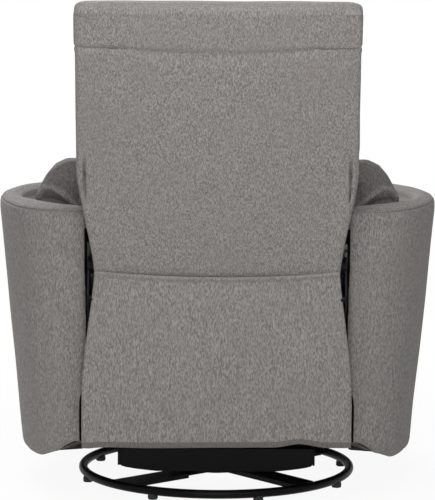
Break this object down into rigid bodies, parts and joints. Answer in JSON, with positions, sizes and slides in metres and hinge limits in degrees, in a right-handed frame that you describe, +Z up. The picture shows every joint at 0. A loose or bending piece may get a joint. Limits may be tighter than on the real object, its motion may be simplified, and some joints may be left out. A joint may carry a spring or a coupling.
{
  "type": "swivel glider recliner",
  "caption": "Upholstered swivel glider recliner: barrel arms, loose lumbar cushion with side wings, tilting head section, scissor footrest, round steel ring base.",
  "frame": {"origin": "on the floor under the swivel axis, which is the middle of the closed chair in plan", "axes": "+Z up along the swivel axis, -Y towards the sitter's front, +X towards the sitter's left arm"},
  "size_m": [0.9166, 0.9174, 1.016],
  "materials": {
    "upholstery": "heathered grey chenille weave",
    "black_steel": "satin black powder coat",
    "zinc_steel": "zinc plated stampings",
    "timber": "bare plywood",
    "rubber": "moulded black",
    "lining": "black dust cover cloth"
  },
  "bodies": {
    "base": {"base_ring": "black_steel", "cross_bar_lower": "black_steel", "cross_bar_upper": "black_steel", "swivel_pedestal": "black_steel", "swivel_bolt": "zinc_steel", "foot_1": "rubber", "foot_2": "rubber", "foot_3": "rubber", "foot_4": "rubber", "foot_5": "rubber", "foot_6": "rubber", "foot_7": "rubber", "foot_8": "rubber"},
    "deck": {"swivel_race": "zinc_steel", "deck_frame": "black_steel", "pivot_stand_left": "black_steel", "pivot_stand_right": "black_steel"},
    "front_glide_links": {"glide_link_front_left": "zinc_steel", "glide_link_front_right": "zinc_steel"},
    "rear_glide_links": {"glide_link_rear_left": "zinc_steel", "glide_link_rear_right": "zinc_steel"},
    "chair_frame": {"front_cross_rail": "timber", "rear_cross_rail": "timber", "glide_rail_left": "black_steel", "glide_rail_right": "black_steel", "slide_guide_left": "black_steel", "slide_guide_right": "black_steel", "arm_left": "upholstery", "arm_right": "upholstery", "arm_underside_left": "lining", "arm_underside_right": "lining"},
    "pull": {"release_pull": "upholstery"},
    "seat": {"side_plate_left": "black_steel", "side_plate_right": "black_steel", "seat_frame": "timber", "seat_springs": "zinc_steel", "seat_cushion": "upholstery", "skirt_rail": "black_steel", "rear_skirt": "upholstery"},
    "back": {"recline_bracket_left": "zinc_steel", "recline_bracket_right": "zinc_steel", "back_frame": "timber", "outside_back": "upholstery", "back_cushion": "upholstery", "lumbar_cushion": "upholstery", "headrest_hinge": "zinc_steel"},
    "head": {"headrest": "upholstery"},
    "scissor_outer_first": {"scissor_outer_1_left": "zinc_steel", "scissor_outer_1_right": "zinc_steel"},
    "scissor_inner_first": {"scissor_inner_frame": "zinc_steel"},
    "scissor_inner_second": {"scissor_inner_2_left": "zinc_steel", "scissor_inner_2_right": "zinc_steel"},
    "scissor_outer_second": {"scissor_outer_2_left": "zinc_steel", "scissor_outer_2_right": "zinc_steel"},
    "board_links": {"board_link_left": "zinc_steel", "board_link_right": "zinc_steel"},
    "footrest": {"board_bracket_left": "zinc_steel", "board_bracket_right": "zinc_steel", "footrest_board": "timber", "footrest_pad": "upholstery"}
  },
  "joints": [
    {"name": "swivel", "type": "hinge", "parent": "base", "child": "deck", "pos_m": [0, 0, 0.05], "axis": [0, 0, 1], "continuous": true},
    {"name": "glide", "type": "hinge", "parent": "deck", "child": "front_glide_links", "pos_m": [0, -0.11, 0.21495], "axis": [1, 0, 0], "range_deg": [-20, 20]},
    {"name": "glide_rear", "type": "hinge", "parent": "deck", "child": "rear_glide_links", "pos_m": [0, 0.11, 0.21495], "axis": [1, 0, 0], "range_deg": [-20.5, 20.5]},
    {"name": "glide_level", "type": "hinge", "parent": "front_glide_links", "child": "chair_frame", "pos_m": [0, -0.11, 0.10495], "axis": [1, 0, 0], "range_deg": [-20.5, 20.5]},
    {"name": "release", "type": "slide", "parent": "chair_frame", "child": "pull", "axis": [0, 0, 1], "range_m": [0, 0.03], "stiffness_N_per_m": 400, "springref_m": -0.005},
    {"name": "seat_slide", "type": "slide", "parent": "chair_frame", "child": "seat", "axis": [0, -1, 0], "range_m": [0, 0.0405]},
    {"name": "recline", "type": "hinge", "parent": "seat", "child": "back", "pos_m": [0, 0.305, 0.485], "axis": [-1, 0, 0], "range_deg": [0, 40]},
    {"name": "headrest_tilt", "type": "hinge", "parent": "back", "child": "head", "pos_m": [0, 0.297, 0.962], "axis": [1, 0, 0], "range_deg": [0, 30]},
    {"name": "footrest", "type": "hinge", "parent": "seat", "child": "scissor_outer_first", "pos_m": [0, -0.325, 0.3], "axis": [-1, 0, 0], "range_deg": [0, 78.5]},
    {"name": "scissor_cross_first", "type": "hinge", "parent": "scissor_outer_first", "child": "scissor_inner_first", "pos_m": [0, -0.3342, 0.21248], "axis": [-1, 0, 0], "range_deg": [-157.5, 0.5]},
    {"name": "scissor_knee_low", "type": "hinge", "parent": "scissor_outer_first", "child": "scissor_inner_second", "pos_m": [0, -0.3434, 0.12496], "axis": [-1, 0, 0], "range_deg": [-157.5, 0.5]},
    {"name": "scissor_knee_high", "type": "hinge", "parent": "scissor_inner_first", "child": "scissor_outer_second", "pos_m": [0, -0.3434, 0.3], "axis": [-1, 0, 0], "range_deg": [-0.5, 157.5]},
    {"name": "scissor_toe_low", "type": "hinge", "parent": "scissor_outer_second", "child": "board_links", "pos_m": [0, -0.36179, 0.12496], "axis": [-1, 0, 0], "range_deg": [-157.5, 0.5]},
    {"name": "footrest_board_hinge", "type": "hinge", "parent": "scissor_inner_second", "child": "footrest", "pos_m": [0, -0.36179, 0.3], "axis": [-1, 0, 0], "range_deg": [-0.5, 157.5]}
  ],
  "couplings": [
    {"joint": "glide_rear", "follows": "glide", "ratio": 1},
    {"joint": "glide_level", "follows": "glide", "ratio": -1},
    {"joint": "seat_slide", "follows": "recline", "m_per_rad": 0.057296},
    {"joint": "scissor_cross_first", "follows": "footrest", "ratio": -2},
    {"joint": "scissor_knee_low", "follows": "footrest", "ratio": -2},
    {"joint": "scissor_knee_high", "follows": "footrest", "ratio": 2},
    {"joint": "scissor_toe_low", "follows": "footrest", "ratio": -2},
    {"joint": "footrest_board_hinge", "follows": "footrest", "ratio": 2}
  ]
}
